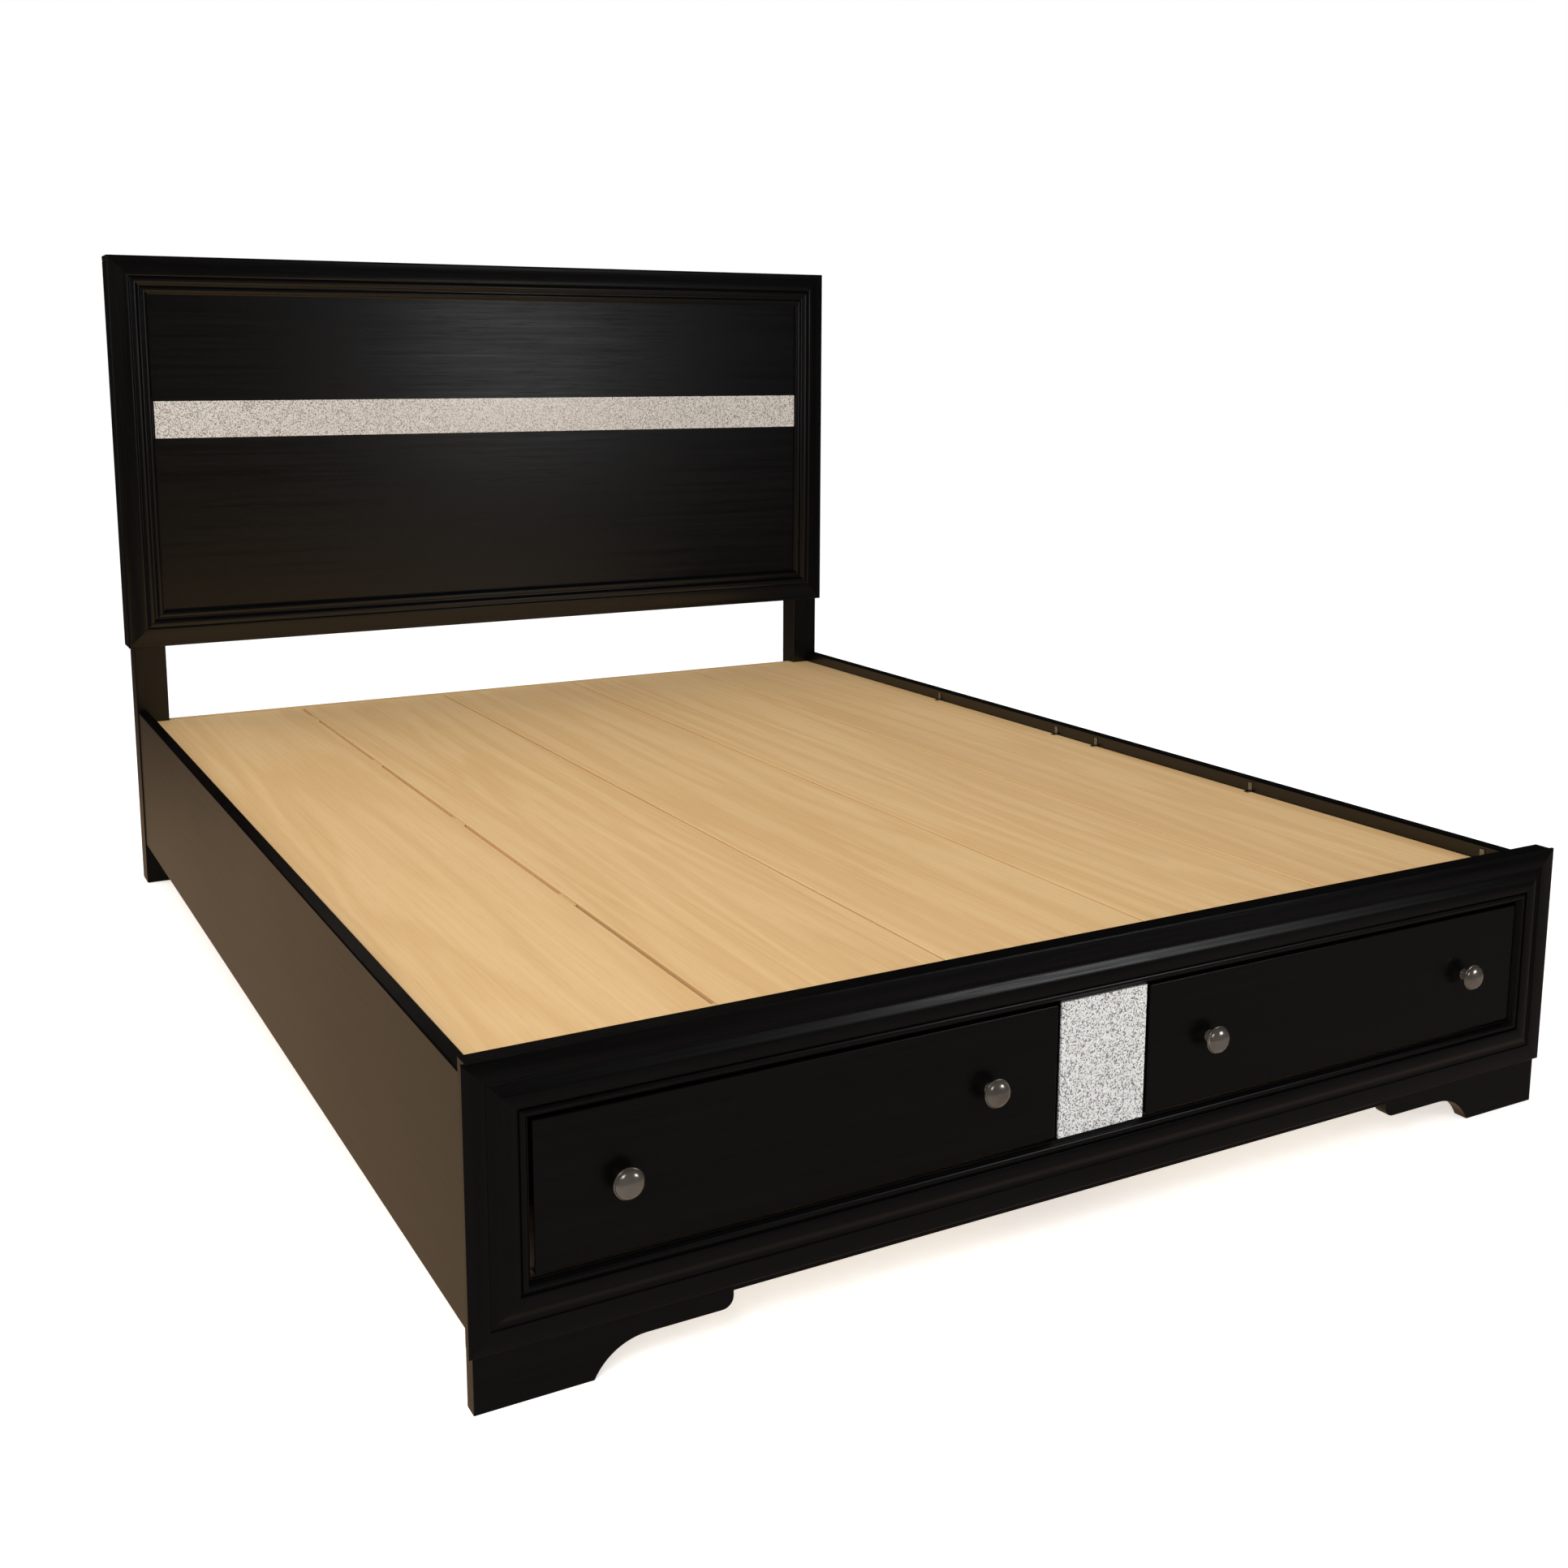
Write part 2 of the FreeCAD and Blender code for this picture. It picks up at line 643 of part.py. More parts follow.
def slat(index):
    """A cross slat with a low rib that stands in the gap beside the leftmost board."""
    span = (f"{slat_place(index)} - SlatWidth/2", f"{slat_place(index)} + SlatWidth/2")
    flat = box(f"slat_{index + 1}_flat", ("-(deck_half)", "deck_half"), span,
               ("slat_low", "board_low"))
    rib = box(f"slat_{index + 1}_rib", (f"{board_edges(0)[1]} + RibClearance",
                                        f"{board_edges(1)[0]} - RibClearance"), span,
              ("board_low - 1", "deck_top - RibDrop"))
    return fuse(f"slat_{index + 1}", [flat, rib])


def build_deck():
    """Long boards on cross slats, a centre beam on legs, and clips on the rails."""
    for index in range(BOARDS):
        piece(f"deck_board_{index + 1}", box(f"board_{index + 1}", board_edges(index),
                                             ("deck_start", "deck_end"),
                                             ("board_low", "deck_top")))
    piece("cross_slats", group("slat_set", [slat(index) for index in range(SLATS)]))
    piece("centre_beam", box("beam", ("-BeamWidth/2", "BeamWidth/2"), ("board_back", "post_front"),
                             ("beam_low", "slat_low")))
    build_centre_legs()
    build_clips()


def build_centre_legs():
    legs, glides = [], []
    for index in LEG_SLATS:
        place = slat_place(index)
        legs.append(box(f"leg_{index}", ("-BeamWidth/2", "BeamWidth/2"),
                        (f"{place} - BeamWidth/2", f"{place} + BeamWidth/2"),
                        ("GlideHeight", "beam_low")))
        glides.append(cylinder(f"glide_{index}", "z", ("0", place, "0"), "GlideDiameter",
                               "GlideHeight"))
    piece("centre_legs", group("leg_set", legs))
    piece("leg_glides", group("glide_set", glides))


def clip(name, sign, place):
    """A small steel angle in the corner of a rail and the deck."""
    across = (f"{place} - ClipWidth/2", f"{place} + ClipWidth/2")
    upright = box(f"{name}_upright", mirrored(sign, "rail_inner - ClipThickness", "rail_inner"),
                  across, ("deck_top", "deck_top + ClipHeight"))
    foot = box(f"{name}_foot", mirrored(sign, "rail_inner - ClipFoot", "rail_inner"),
               across, ("deck_top", "deck_top + ClipThickness"))
    return fuse(name, [upright, foot])


def build_clips():
    """Clips along both rails, over slats, with a pair beside the middle slat."""
    places = [slat_place(index) for index in CLIP_SLATS]
    places += [f"{slat_place(SLATS // 2)} + ({way})*ClipPairSpread" for way in (-1, 1)]
    piece("deck_clips", group("clip_set", [
        clip(f"clip_{side}_{count}", sign, place)
        for side, sign in SIDES for count, place in enumerate(places)]))


def channel(name, sign, wall_side, web, depth, low, high, start, end):
    """A steel channel: a block with a hollow that leaves a web and two flanges."""
    if wall_side > 0:
        outer, hollow = (f"({web}) - ({depth})", web), (f"({web}) - ({depth}) - 1",
                                                        f"({web}) - ChannelWall")
    else:
        outer, hollow = (web, f"({web}) + ({depth})"), (f"({web}) + ChannelWall",
                                                        f"({web}) + ({depth}) + 1")
    block = box(f"{name}_block", mirrored(sign, *outer), (start, end), (low, high))
    space = box(f"{name}_space", mirrored(sign, *hollow), (f"({start}) - 1", f"({end}) + 1"),
                (f"({low}) + ChannelWall", f"({high}) - ChannelWall"))
    return cut(name, block, [space])


def build_housing():
    """Boards that carry the drawer runners, tied by a rail behind the drawers."""
    boards, channels = [], []
    for side, sign in SIDES:
        for place, wall_side, face in (("outer", 1, "open_half"), ("inner", -1, "block_half")):
            low = face if wall_side > 0 else f"{face} - RunnerBoardThickness"
            boards.append(box(f"runner_board_{side}_{place}",
                              mirrored(sign, low, f"{low} + RunnerBoardThickness"),
                              ("board_back", "rear_front"),
                              ("RunnerBoardBottom", "RunnerBoardBottom + RunnerBoardHeight")))
            channels.append(channel(f"channel_{side}_{place}", sign, wall_side, face,
                                    "ChannelDepth", "ChannelBottom", "channel_top",
                                    "board_back + ChannelSetback", "rear_front"))
    piece("runner_boards", group("runner_board_set", boards))
    piece("runner_channels", group("channel_set", channels))
    piece("housing_rear_rail", box("rear_rail", ("-(rail_inner)", "rail_inner"),
                                   ("rear_front", "rear_back"),
                                   ("RunnerBoardBottom", "beam_low")))


def knob(name, x, z):
    """A mushroom knob on a short stem, with a blind hole for its screw."""
    def along(offset):
        return (x, f"face_front - ({offset})", z)
    flare_start = "KnobReach - KnobDome - KnobRim - KnobFlare"
    rim_start = "KnobReach - KnobDome - KnobRim"
    base = cylinder(f"{name}_base", "-y", along("0"), "KnobBaseDiameter", "KnobBaseHeight")
    stem = cylinder(f"{name}_stem", "-y", along("0"), "KnobStemDiameter", rim_start)
    flare = turned("Part::Cone", f"{name}_flare", "-y", along(flare_start),
                   {"Radius1": "KnobStemDiameter/2", "Radius2": "KnobDiameter/2",
                    "Height": "KnobFlare"})
    rim = cylinder(f"{name}_rim", "-y", along(rim_start), "KnobDiameter",
                   "KnobRim + KnobDome + 1")
    ball_radius = "((KnobDiameter*KnobDiameter/4 + KnobDome*KnobDome)/(2*KnobDome))"
    ball = turned("Part::Sphere", f"{name}_ball", "z", along(f"KnobReach - {ball_radius}"),
                  {"Radius": ball_radius})
    cap = doc.addObject("Part::MultiCommon", f"{name}_cap")
    cap.Shapes = [rim, ball]
    hole = cylinder(f"{name}_hole", "-y", along("0"), "ScrewDiameter + 2*ScrewClearance",
                    "ScrewReach + 1")
    return cut(name, fuse(f"{name}_solid", [base, stem, flare, cap]), [hole])


def knob_screw(name, x, z):
    """A pan-head screw through the drawer front from inside the drawer."""
    head = cylinder(f"{name}_head", "y", (x, "face_back", z), "ScrewHeadDiameter",
                    "ScrewHeadHeight")
    shank = cylinder(f"{name}_shank", "-y", (x, "face_back", z), "ScrewDiameter",
                     "FrontThickness + ScrewReach")
    return fuse(name, [head, shank])


def drawer_wall(name, x, groove_x):
    """A drawer side with the groove that holds the base."""
    blank = box(f"{name}_blank", x, ("face_back", "box_back"), ("BoxBottom", "box_top"))
    groove = box(f"{name}_groove", groove_x, ("face_back - 1", "box_back + 1"),
                 ("base_low - GrooveClearance", "base_low + BaseThickness + GrooveClearance"))
    return cut(name, blank, [groove])


def build_drawer(side, sign):
    """One drawer: front, box with a grooved-in base, two knobs and the slides' inner halves."""
    label = f"drawer_{side}"
    knob_places = [f"({sign})*(drawer_middle + ({way})*KnobSpacing/2)" for way in (-1, 1)]
    blank = box(f"{label}_front_blank", mirrored(sign, "front_inner", "front_outer"),
                ("face_front", "face_back"), ("open_low + FrontGap", "open_high - FrontGap"))
    holes = [cylinder(f"{label}_front_hole_{number}", "y", (x, "face_front - 1", "knob_height"),
                      "ScrewDiameter + 2*ScrewClearance", "FrontThickness + 2")
             for number, x in enumerate(knob_places)]
    piece(f"{label}_front", cut(f"{label}_front_board", blank, holes))
    walls = {"inner": ("box_inner", "box_inner + BoxWall"),
             "outer": ("box_outer - BoxWall", "box_outer")}
    grooves = {"inner": ("box_inner + BoxWall - GrooveDepth", "box_inner + BoxWall + 1"),
               "outer": ("box_outer - BoxWall - 1", "box_outer - BoxWall + GrooveDepth")}
    for place in walls:
        piece(f"{label}_side_{place}", drawer_wall(f"{label}_wall_{place}",
                                                   mirrored(sign, *walls[place]),
                                                   mirrored(sign, *grooves[place])))
    inside = ("box_inner + BoxWall", "box_outer - BoxWall")
    piece(f"{label}_back", box(f"{label}_back_board", mirrored(sign, *inside),
                               ("box_back - BoxWall", "box_back"),
                               ("base_low + BaseThickness", "box_top")))
    seat = "(BoxWall - GrooveDepth + GrooveClearance)"
    piece(f"{label}_base", box(f"{label}_base_board",
                               mirrored(sign, f"box_inner + {seat}", f"box_outer - {seat}"),
                               ("face_back", "box_back"),
                               ("base_low", "base_low + BaseThickness")))
    piece(f"{label}_knobs", group(f"{label}_knob_pair", [
        knob(f"{label}_knob_{number}", x, "knob_height") for number, x in enumerate(knob_places)]))
    piece(f"{label}_knob_screws", group(f"{label}_screw_pair", [
        knob_screw(f"{label}_screw_{number}", x, "knob_height")
        for number, x in enumerate(knob_places)]))
    low = "ChannelBottom + ChannelWall + SlideClearance"
    high = "channel_top - ChannelWall - SlideClearance"
    piece(f"{label}_slides", group(f"{label}_slide_pair", [
        channel(f"{label}_slide_inner", sign, 1, "box_inner", "SlideDepth", low, high,
                "board_back", "box_back"),
        channel(f"{label}_slide_outer", sign, -1, "box_outer", "SlideDepth", low, high,
                "board_back", "box_back")]))


build_headboard()
build_footboard()
build_rails()
build_corner_irons()
build_deck()
build_housing()
for side, sign in SIDES:
    build_drawer(side, sign)
doc.recompute()

for item in doc.Objects:
    if "Invalid" in item.State or "Error" in item.State:
        raise RuntimeError(f"{item.Label} did not recompute: {item.State}")
os.makedirs("parts", exist_ok=True)
for item in pieces:
    if item.Shape.isNull() or not item.Shape.isValid():
        raise RuntimeError(f"{item.Label} has no valid shape")
for item in pieces:
    item.Shape.exportStep(f"parts/{item.Label}.step")
    solids = len(item.Shape.Solids)
    print(f"{item.Label:32s} {solids:2d} solid(s) {item.Shape.Volume / 1e6:9.4f} l")
print(len(pieces), "pieces")
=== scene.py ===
"""The looks of a queen size platform bed: black lacquered wood, a veneered deck, glitter inlays
and nickel knobs. Metres, +Z up, the foot end towards -Y."""
import json
import math

import bmesh
import bpy
import numpy as np
from mathutils import Matrix, Vector


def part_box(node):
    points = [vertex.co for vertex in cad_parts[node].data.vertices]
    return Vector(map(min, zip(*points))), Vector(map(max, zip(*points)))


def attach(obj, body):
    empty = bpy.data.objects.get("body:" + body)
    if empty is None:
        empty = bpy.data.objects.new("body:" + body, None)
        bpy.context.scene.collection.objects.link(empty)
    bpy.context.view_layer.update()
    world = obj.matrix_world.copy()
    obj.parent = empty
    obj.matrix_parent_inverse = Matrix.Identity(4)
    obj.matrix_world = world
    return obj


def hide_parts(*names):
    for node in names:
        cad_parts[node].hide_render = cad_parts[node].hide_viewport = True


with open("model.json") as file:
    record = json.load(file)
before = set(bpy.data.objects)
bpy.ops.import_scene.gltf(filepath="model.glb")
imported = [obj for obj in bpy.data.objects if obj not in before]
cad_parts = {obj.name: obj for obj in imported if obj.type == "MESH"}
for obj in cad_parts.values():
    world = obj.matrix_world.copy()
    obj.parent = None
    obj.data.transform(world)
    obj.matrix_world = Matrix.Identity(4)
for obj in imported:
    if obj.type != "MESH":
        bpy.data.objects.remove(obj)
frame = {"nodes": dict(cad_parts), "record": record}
bpy.context.scene.view_settings.view_transform = "Standard"
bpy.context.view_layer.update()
MM = 0.001
FOOT_WIDTH = 135 * MM                       # a bracket foot, along the floor
ARCH_RADIUS = 70 * MM
ARCH_HEIGHT = 38 * MM
SHOULDER_RADIUS = 14 * MM
SHOULDER_LENGTH = 106 * MM                  # level stretch between the arch and the small round
SKIRT_BOTTOM = 58 * MM                      # the skirt's underside between the feet
MITRE_GAP = 0.06 * MM                       # each moulding's end to the middle of its mitre
RIB_CLEARANCE = 0.4 * MM                    # a slat's rib to the boards beside it
LENS = 38.413                               # the camera's focal length, shift, place and turns
SHIFT = (0.0387, -0.0887)
CAMERA_PLACE = (-1.3136, -2.5601, 1.0603)
CAMERA_TURN, CAMERA_TILT, CAMERA_ROLL = -27.557, 90 - 9.231, -0.125
AMBIENT = 0.60                              # the backdrop's light on matt surfaces
ROOM_FLOOR_FRONT = (0.10, 0.085, 0.08, 1.0)  # what the lacquer reflects low down at the foot
ROOM_FLOOR_SIDE = (0.37, 0.25, 0.152, 1.0)    # low down towards the head
ROOM_WALL = (0.012, 0.011, 0.011, 1.0)        # and above the horizon


# ---------------------------------------------------------------- paint

class Value:
    """A number or a vector that varies over a surface, which can be added, multiplied and so on."""

    def __init__(self, paint, socket):
        self.paint = paint
        self.socket = socket

    def maths(self, operation, *others, swap=False):
        values = [self, *others]
        if swap:
            values.reverse()
        return self.paint.node("ShaderNodeMath", {"operation": operation},
                               dict(enumerate(values)))

    def __add__(self, other):
        return self.maths("ADD", other)

    def __sub__(self, other):
        return self.maths("SUBTRACT", other)

    def __rsub__(self, other):
        return self.maths("SUBTRACT", other, swap=True)

    def __mul__(self, other):
        return self.maths("MULTIPLY", other)

    def __gt__(self, other):
        return self.maths("GREATER_THAN", other)

    __radd__ = __add__
    __rmul__ = __mul__

    def sine(self):
        return self.maths("SINE")

    def between(self, low, high, start=0.0, end=1.0):
        """Runs from start to end as the value goes from low to high, and stays there past them."""
        return self.paint.node("ShaderNodeMapRange", {"clamp": True},
                               {"Value": self, "From Min": low, "From Max": high,
                                "To Min": start, "To Max": end})


class Paint:
    """A material with one Principled shader, built from values."""

    def __init__(self, name):
        self.material = bpy.data.materials.new(name)
        self.material.use_nodes = True
        self.tree = self.material.node_tree
        self.shader = self.tree.nodes["Principled BSDF"]
        self.place = self.node("ShaderNodeTexCoord", {}, {}, "Object")

    def node(self, kind, settings, inputs, output=0):
        """Adds a node: its settings first, then the values or links of its sockets."""
        made = self.tree.nodes.new(kind)
        for key, setting in settings.items():
            setattr(made, key, setting)
        for key, value in inputs.items():
            self.feed(made.inputs[key], value)
        return Value(self, made.outputs[output])

    def feed(self, socket, value):
        if isinstance(value, Value):
            self.tree.links.new(value.socket, socket)
        else:
            socket.default_value = value

    def coords(self, stretch, offset=(0, 0, 0)):
        """The place on the object, stretched along each axis and moved."""
        return self.node("ShaderNodeMapping", {}, {"Vector": self.place, "Location": offset,
                                                   "Scale": stretch})

    def noise(self, where, scale=1.0, detail=2.0, roughness=0.5, distortion=0.0):
        return self.node("ShaderNodeTexNoise", {}, {"Vector": where, "Scale": scale,
                                                    "Detail": detail, "Roughness": roughness,
                                                    "Distortion": distortion}, "Fac")

    def cells(self, where, scale, output="Distance", feature="F1"):
        return self.node("ShaderNodeTexVoronoi", {"feature": feature},
                         {"Vector": where, "Scale": scale}, output)

    def part(self, vector, axis):
        return self.node("ShaderNodeSeparateXYZ", {}, {0: vector}, axis)

    def mix(self, first, second, share):
        """A colour between two colours."""
        return self.node("ShaderNodeMix", {"data_type": "RGBA"},
                         {"Factor": share, 6: colour(first), 7: colour(second)}, 2)

    def bump(self, height, depth):
        return self.node("ShaderNodeBump", {}, {"Height": height, "Distance": depth,
                                                "Strength": 1.0})

    def finish(self, **sockets):
        """Sets the shader's sockets, named with underscores for spaces."""
        for key, value in sockets.items():
            self.feed(self.shader.inputs[key.replace("_", " ")], value)
        return self.material


def colour(value):
    """An sRGB colour of 0 to 255 as a linear one; a varying colour passes through."""
    if isinstance(value, Value):
        return value
    parts = [channel / 255 for channel in value]
    return [p / 12.92 if p <= 0.04045 else ((p + 0.055) / 1.055) ** 2.4 for p in parts] + [1.0]


def along(axis, fast, slow):
    """Stretch factors that are slow along one axis and fast across it."""
    return tuple(slow if letter == axis else fast for letter in "xyz")


def black_lacquer(name, grain, seed, pore_depth=1.0):
    """Black lacquer over open-pored wood: fine pores along the grain show in gloss and relief,
    less so under the thicker satin coat of the rails."""
    paint = Paint(name)
    shift = (seed * 3.1, seed * 1.7, seed * 2.3)
    pores = paint.noise(paint.coords(along(grain, 420, 9), shift), detail=3, roughness=0.65)
    fibres = paint.noise(paint.coords(along(grain, 130, 2.2), shift), detail=4, roughness=0.6)
    cloud = paint.noise(paint.coords((2.2, 2.2, 2.2), shift), detail=2)
    dust = paint.noise(paint.coords((900, 900, 900), shift), detail=1)
    open_pore = pores.between(0.56, 0.72) * pore_depth
    base = paint.mix((4, 3, 3), (7, 6, 6), (fibres * 0.7 + cloud * 0.3).between(0.35, 0.7))
    base = paint.mix(base, (3, 3, 3), open_pore * 0.8)
    height = fibres * (0.5 * pore_depth) - open_pore * 0.55 + dust * 0.05
    gloss = 0.26 + fibres.between(0.35, 0.7) * (0.09 * pore_depth) + open_pore * 0.12 + cloud * 0.05
    return paint.finish(Base_Color=base, Roughness=gloss, Normal=paint.bump(height, 0.0001),
                        Specular_IOR_Level=0.5, Coat_Weight=0.12, Coat_Roughness=0.18)


def veneer(name, seed, tones=((229, 193, 141), (214, 172, 117), (190, 146, 96)), grain="y"):
    """Pale veneer: long slow figure, fine dark pores along the grain, a rare pin knot."""
    paint = Paint(name)
    shift = (seed * 1.37, seed * 0.61, seed * 0.83)
    wander = paint.noise(paint.coords(along(grain, 2.6, 0.5), shift), detail=2)
    figure = paint.noise(paint.coords(along(grain, 9, 0.55), shift), detail=3, distortion=0.6)
    rings = (figure * 38 + wander * 9).sine().between(-1, 1)
    fibres = paint.noise(paint.coords(along(grain, 190, 2.4), shift), detail=4, roughness=0.62)
    pores = paint.noise(paint.coords(along(grain, 620, 14), shift), detail=2, roughness=0.6)
    flecks = pores.between(0.6, 0.74)
    knots = paint.cells(paint.coords(along(grain, 2.6, 1.9), shift), 1.0).between(0.012, 0.03, 1, 0)
    base = paint.mix(tones[0], tones[1], rings * 0.42 + fibres.between(0.3, 0.7) * 0.5)
    base = paint.mix(base, tones[2], flecks * 0.34 + wander.between(0.45, 0.75) * 0.16)
    base = paint.mix(base, (112, 74, 44), knots * 0.75)
    height = fibres * 0.4 - flecks * 0.6
    gloss = 0.40 + fibres.between(0.3, 0.7) * 0.10 + flecks * 0.15
    return paint.finish(Base_Color=base, Roughness=gloss, Normal=paint.bump(height, 0.00012),
                        Specular_IOR_Level=0.45)


def pine(name, grain, seed):
    """Planed softwood: the veneer's figure in deeper tones, a little darker late wood, and small
    knots.
    """
    return veneer(name, seed, ((222, 186, 132), (201, 158, 103), (170, 122, 74)), grain)


def birch(name, grain, seed):
    return veneer(name, seed, ((226, 205, 168), (214, 188, 146), (186, 156, 112)), grain)


def glitter(name, grain_size, tones, weave=0.0, coat=0.25):
    """Glitter film: small facets, each with its own tone, tilt and gloss, in clear binder."""
    paint = Paint(name)
    where = paint.coords((1, 1, 1))
    flake = paint.cells(where, 1 / grain_size, "Color")
    tone = paint.part(flake, "X")
    tilt = paint.part(flake, "Y")
    spark = paint.part(flake, "Z")
    rim = paint.cells(where, 1 / grain_size, "Distance", "DISTANCE_TO_EDGE").between(0, 0.09, 1, 0)
    fine = paint.cells(where, 3.1 / grain_size, "Color")
    grit = paint.part(fine, "X")
    patch = paint.noise(where, 14, detail=3)
    share = tone * 0.62 + grit * 0.38
    if weave:
        threads = paint.noise(paint.coords((90, 90, 640)), detail=1)
        share = share * (1 - weave) + threads * weave
    base = paint.mix(tones[0], tones[1], share.between(0.1, 0.85))
    base = paint.mix(base, tones[2], (patch.between(0.4, 0.7) * 0.35) + rim * 0.25)
    height = tilt * 0.7 + grit * 0.3 - rim * 0.6
    return paint.finish(Base_Color=base, Roughness=0.5 - spark * 0.32,
                        Metallic=(spark > 0.72) * 0.75, Normal=paint.bump(height, 0.00022),
                        Coat_Weight=coat, Coat_Roughness=0.22)


def nickel(name):
    """Satin nickel with turned lines round the knob and faint handling marks."""
    paint = Paint(name)
    lines = paint.noise(paint.coords((260, 2600, 260)), detail=2)
    smear = paint.noise(paint.coords((60, 60, 60)), detail=3)
    base = paint.mix((206, 196, 184), (182, 171, 158), smear.between(0.35, 0.7))
    return paint.finish(Base_Color=base, Metallic=0.92, Normal=paint.bump(lines, 0.000004),
                        Roughness=0.15 + smear * 0.08 + lines * 0.04)


def zinc(name):
    """Bright zinc plate: a faint spangle and a dull bloom in patches."""
    paint = Paint(name)
    spangle = paint.part(paint.cells(paint.coords((1, 1, 1)), 240, "Color"), "X")
    bloom = paint.noise(paint.coords((45, 45, 45)), detail=4)
    base = paint.mix((168, 171, 176), (128, 131, 137), spangle * 0.35 + bloom * 0.5)
    return paint.finish(Base_Color=base, Metallic=1.0, Normal=paint.bump(bloom, 0.00008),
                        Roughness=0.28 + bloom * 0.2 + spangle * 0.08)


def moulded_plastic(name):
    paint = Paint(name)
    grain = paint.noise(paint.coords((900, 900, 900)), detail=3)
    cloud = paint.noise(paint.coords((30, 30, 30)), detail=2)
    base = paint.mix((20, 20, 21), (34, 33, 32), cloud)
    return paint.finish(Base_Color=base, Roughness=0.5 + grain * 0.2,
                        Normal=paint.bump(grain, 0.00015))


# ---------------------------------------------------------------- shapes

def piece(name, points, faces, flat, material, slot, body, *nodes):
    """Makes a mesh object that stands for CAD nodes and moves with their body."""
    mesh = bpy.data.meshes.new(name)
    mesh.from_pydata(points.tolist(), [], faces)
    mesh.polygons.foreach_set("use_smooth", np.ones(len(faces), bool))
    mesh.set_sharp_from_angle(angle=math.radians(40))
    for index in flat:
        mesh.polygons[index].use_smooth = False
    mesh.materials.append(material)
    mesh.update()
    made = bpy.data.objects.new(name, mesh)
    bpy.context.scene.collection.objects.link(made)
    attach(made, body)
    if nodes:
        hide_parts(*nodes)
    return made


def ring_faces(rings, around, first=0):
    """Quads between neighbouring closed rings of points, then a cap on the first and the last."""
    row, column = np.meshgrid(np.arange(rings - 1), np.arange(around), indexing="ij")
    after = (column + 1) % around
    corners = [row * around + column, row * around + after,
               (row + 1) * around + after, (row + 1) * around + column]
    quads = (np.stack(corners, -1).reshape(-1, 4) + first).tolist()
    low_cap = list(range(first + around - 1, first - 1, -1))
    high_cap = list(range(first + (rings - 1) * around, first + rings * around))
    return quads + [low_cap, high_cap]


def rounded_rectangle(size, radius, steps=4, ease=0.0006):
    """Corners of a rectangle about the origin, anticlockwise: each is a quarter circle, with one
    more point a little way along the straight side, which keeps the flat faces flat in shading."""
    half = np.array(size) / 2 - radius
    turn = np.linspace(0, math.pi / 2, steps + 1)
    points = []
    for index, (x, y) in enumerate(((1, -1), (1, 1), (-1, 1), (-1, -1))):
        angle = turn + (index - 1) * math.pi / 2
        arc = np.stack([x * half[0] + radius * np.cos(angle), y * half[1] + radius * np.sin(angle)], 1)
        lead = np.array([math.sin(angle[0]), -math.cos(angle[0])]) * ease
        trail = np.array([-math.sin(angle[-1]), math.cos(angle[-1])]) * ease
        points += [arc[:1] + lead, arc, arc[-1:] + trail]
    return np.concatenate(points)


def inward(outline):
    """For each corner, the step that moves both of its sides in by one unit."""
    side = np.roll(outline, -1, 0) - outline
    side /= np.linalg.norm(side, axis=1, keepdims=True)
    normal = np.stack([-side[:, 1], side[:, 0]], 1)
    before = np.roll(normal, 1, 0)
    return (normal + before) / (1 + (normal * before).sum(1, keepdims=True))


def eased_prism(outline, low, high, ease, steps=3):
    """Closed rings of an outline carried from low to high: at each end the ring stands in by
    ease*(1 - sin a) at a height of ease*(1 - cos a), a quarter round, as a goes to a right angle."""
    angle = np.linspace(0, math.pi / 2, steps + 1)
    inset = np.concatenate([ease * (1 - np.sin(angle)), [0]])
    rise = np.concatenate([ease * (1 - np.cos(angle)), [ease * 1.4]])
    insets = np.concatenate([inset, inset[::-1]])
    levels = np.concatenate([low + rise, (high - rise)[::-1]])
    flat = outline[None] + inward(outline)[None] * insets[:, None, None]
    height = np.broadcast_to(levels[:, None, None], (len(levels), len(outline), 1))
    return np.concatenate([flat, height], 2).reshape(-1, 3), len(levels), len(outline)


def board_points(low, high, ease):
    """A board with eased edges between two corners, its outline across its thinnest side."""
    low, high = np.array(low), np.array(high)
    size = high - low
    thin = int(np.argmin(size))
    first, second = (thin + 1) % 3, (thin + 2) % 3
    ease = min(ease, size[thin] * 0.3)
    outline = rounded_rectangle((size[first], size[second]), ease * 1.3)
    made, rings, around = eased_prism(outline, low[thin], high[thin], ease)
    points = np.empty_like(made)
    points[:, first] = made[:, 0] + (low[first] + high[first]) / 2
    points[:, second] = made[:, 1] + (low[second] + high[second]) / 2
    points[:, thin] = made[:, 2]
    return points, rings, around


def solid_boxes(node):
    """The box of each separate solid of a CAD node, in order of place."""
    loose = bmesh.new()
    loose.from_mesh(frame["nodes"][node].data)
    bmesh.ops.remove_doubles(loose, verts=loose.verts, dist=1e-6)
    unseen, boxes = set(loose.verts), []
    while unseen:
        edge, found = [unseen.pop()], []
        while edge:
            vert = edge.pop()
            found.append(vert.co[:])
            for link in vert.link_edges:
                other = link.other_vert(vert)
                if other in unseen:
                    unseen.remove(other)
                    edge.append(other)
        boxes.append((np.min(found, 0), np.max(found, 0)))
    loose.free()
    return sorted(boxes, key=lambda box: tuple(np.round(box[0], 5)))


def body_of(node):
    return next(body for body, nodes in frame["record"]["behaviour"]["bodies"].items()
                if node in nodes)


